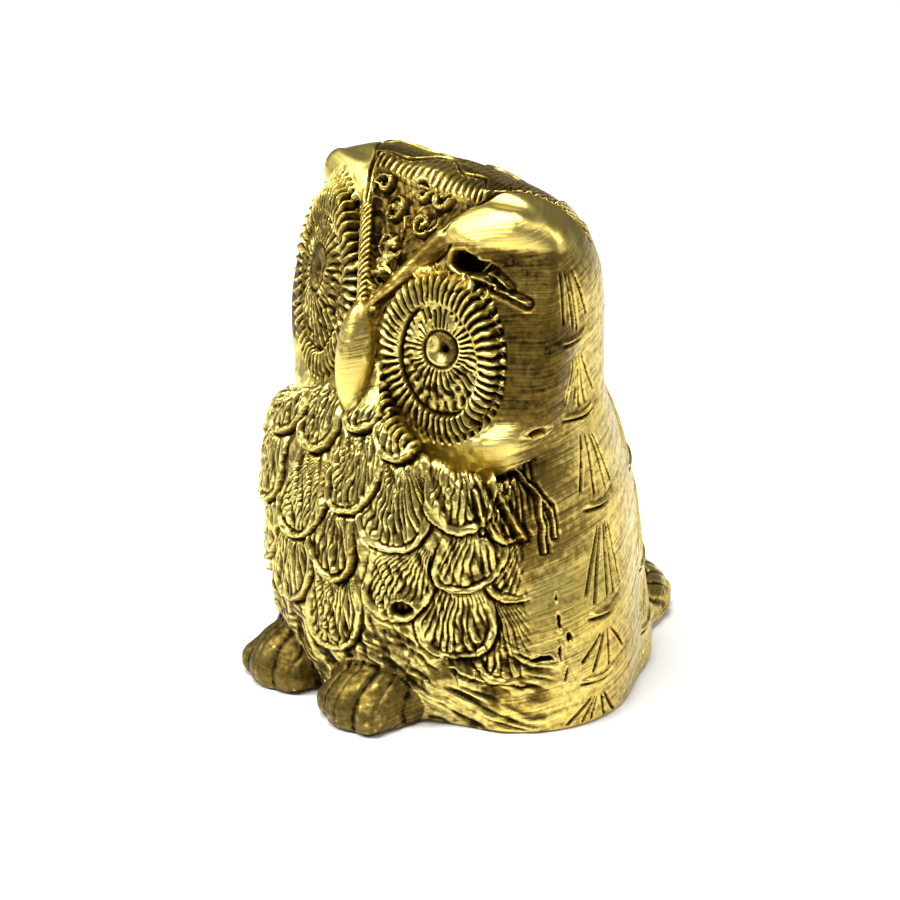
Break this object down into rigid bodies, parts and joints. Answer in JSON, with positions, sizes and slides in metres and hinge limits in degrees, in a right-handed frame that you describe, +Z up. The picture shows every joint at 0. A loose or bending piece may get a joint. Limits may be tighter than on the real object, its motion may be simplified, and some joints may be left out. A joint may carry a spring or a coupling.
{
  "type": "owl figurine",
  "caption": "Small cast brass owl, upright on a flat base, with ringed eye discs, horned brows, scalloped breast feathers and fanned feathers down its sides.",
  "frame": {"origin": "middle of the torso's flat underside, on the surface that the owl stands on", "axes": "+Z up; the owl looks along -Y; its own left side is +X"},
  "size_m": [0.0428, 0.0466, 0.0508],
  "materials": {
    "chased_brass": "hand-chased brass, bright on the raised rims, dark patina in the cuts",
    "brushed_brass": "filed and brushed brass with fine oblique scratches",
    "polished_brass": "polished brass, worn bright",
    "engraved_brass": "closely engraved brass, dark between the rays",
    "dark_brass": "antiqued brass, mostly patina"
  },
  "bodies": {
    "root": {"torso": "chased_brass", "left_wing": "brushed_brass", "right_wing": "brushed_brass", "left_foot": "dark_brass", "right_foot": "dark_brass", "tail": "brushed_brass", "head": "brushed_brass", "crown": "chased_brass", "forehead": "dark_brass", "left_cheek": "polished_brass", "right_cheek": "polished_brass", "left_brow": "polished_brass", "right_brow": "polished_brass", "beak": "polished_brass", "left_eye_disc": "engraved_brass", "right_eye_disc": "engraved_brass", "left_iris": "engraved_brass", "right_iris": "engraved_brass", "left_pupil": "dark_brass", "right_pupil": "dark_brass"}
  },
  "joints": []
}
